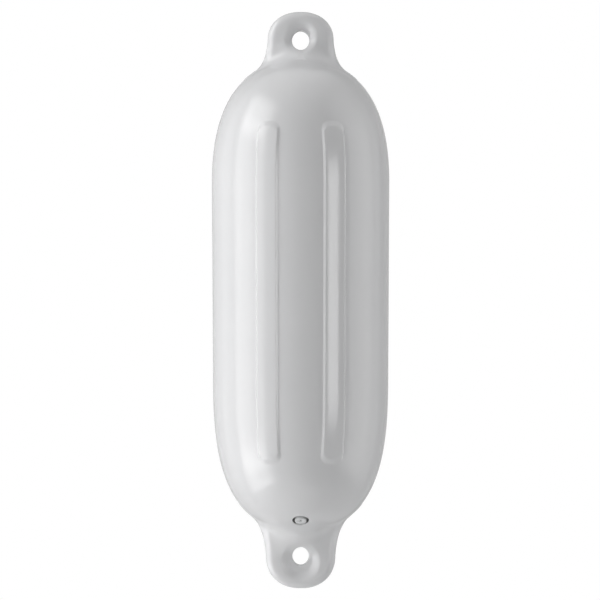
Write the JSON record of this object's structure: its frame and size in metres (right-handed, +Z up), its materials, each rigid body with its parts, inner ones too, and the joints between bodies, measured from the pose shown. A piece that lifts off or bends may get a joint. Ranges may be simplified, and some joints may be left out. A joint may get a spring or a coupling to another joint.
{
  "type": "boat fender",
  "caption": "Long round moulded boat fender with domed ends, an eye lug at each end, raised bands along the barrel and an air valve by the lower eye.",
  "frame": {"origin": "centre of the upper eye's hole, half way through its lug, from which the fender hangs", "axes": "+Z up along the fender's long axis towards the upper eye, -Y out of the face that carries the valve, +X to the right of someone who looks at the valve"},
  "size_m": [0.1676, 0.1676, 0.5446],
  "materials": {
    "white_vinyl": "glossy moulded surface",
    "valve_rubber": "soft satin white"
  },
  "bodies": {
    "root": {"fender_body": "white_vinyl", "valve_plug": "valve_rubber"}
  },
  "joints": []
}
